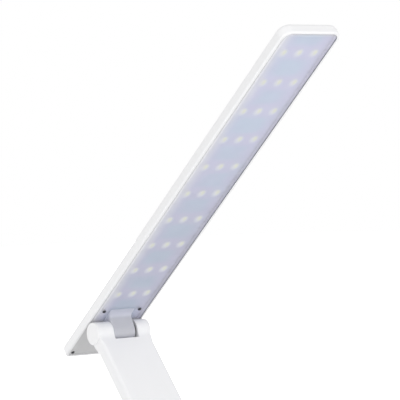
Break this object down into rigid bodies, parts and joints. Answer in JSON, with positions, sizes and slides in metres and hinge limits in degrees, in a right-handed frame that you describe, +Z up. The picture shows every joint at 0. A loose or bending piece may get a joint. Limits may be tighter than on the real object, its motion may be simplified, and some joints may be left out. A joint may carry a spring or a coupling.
{
  "type": "desk lamp",
  "caption": "Folding desk lamp: a slim light head with a clear panel on a flat arm, hinged to a weighted base with a push button.",
  "frame": {"origin": "on the table, under the middle of the base", "axes": "+Z up, -Y towards the user and the light head's tip, X along both hinge axes"},
  "size_m": [0.112, 0.2546, 0.4093],
  "materials": {
    "white_shell": "satin white moulding",
    "grey_moulding": "fine grey moulding",
    "clear_panel": "clear panel with a light frost",
    "board_white": "white solder mask",
    "led_body": "pale yellow light sources",
    "aluminium_sheet": "rolled sheet",
    "steel": "turned and zinc plated",
    "ballast_steel": "plain cut plate",
    "dark_screw": "blackened",
    "friction_ring": "self-lubricating ring",
    "grip_rubber": "soft non-slip pad",
    "card_green": "printed circuit card",
    "switch_black": "moulded switch",
    "button_grey": "satin button",
    "lead_black": "insulated lead",
    "lead_white": "insulated lead",
    "inlet_metal": "plated socket"
  },
  "bodies": {
    "head": {"head_housing": "white_shell", "heat_sheet": "aluminium_sheet", "led_board": "board_white", "leds": "led_body", "light_panel": "clear_panel", "panel_screws": "dark_screw", "tail_cover": "grey_moulding", "tail_screws": "dark_screw", "head_lead": "lead_white"},
    "arm": {"arm_frame": "white_shell", "arm_cover": "white_shell", "arm_stiffener": "steel", "arm_lead": "lead_black", "arm_screws": "steel", "upper_pin": "steel", "upper_caps": "white_shell", "upper_washer": "friction_ring", "lower_pin": "steel", "lower_caps": "white_shell", "lower_washer": "friction_ring"},
    "base": {"base_shell": "white_shell", "base_tray": "white_shell", "ballast": "ballast_steel", "grip_pad": "grip_rubber", "hinge_post": "grey_moulding", "post_screws": "steel", "control_card": "card_green", "push_switch": "switch_black", "card_screws": "steel", "power_inlet": "inlet_metal", "inlet_card": "card_green", "base_lead": "lead_black", "base_screws": "steel"},
    "button": {"power_button": "button_grey"}
  },
  "joints": [
    {"name": "arm_tilt", "type": "hinge", "parent": "base", "child": "arm", "pos_m": [0, -0.063, 0.03], "axis": [1, 0, 0], "range_deg": [-45, 50]},
    {"name": "head_tilt", "type": "hinge", "parent": "arm", "child": "head", "pos_m": [0, 0.12584, 0.22016], "axis": [1, 0, 0], "range_deg": [-90, 86]},
    {"name": "power_press", "type": "slide", "parent": "base", "child": "button", "axis": [0, 0, -1], "range_m": [0, 0.0012], "stiffness_N_per_m": 800, "springref_m": -0.0005}
  ]
}
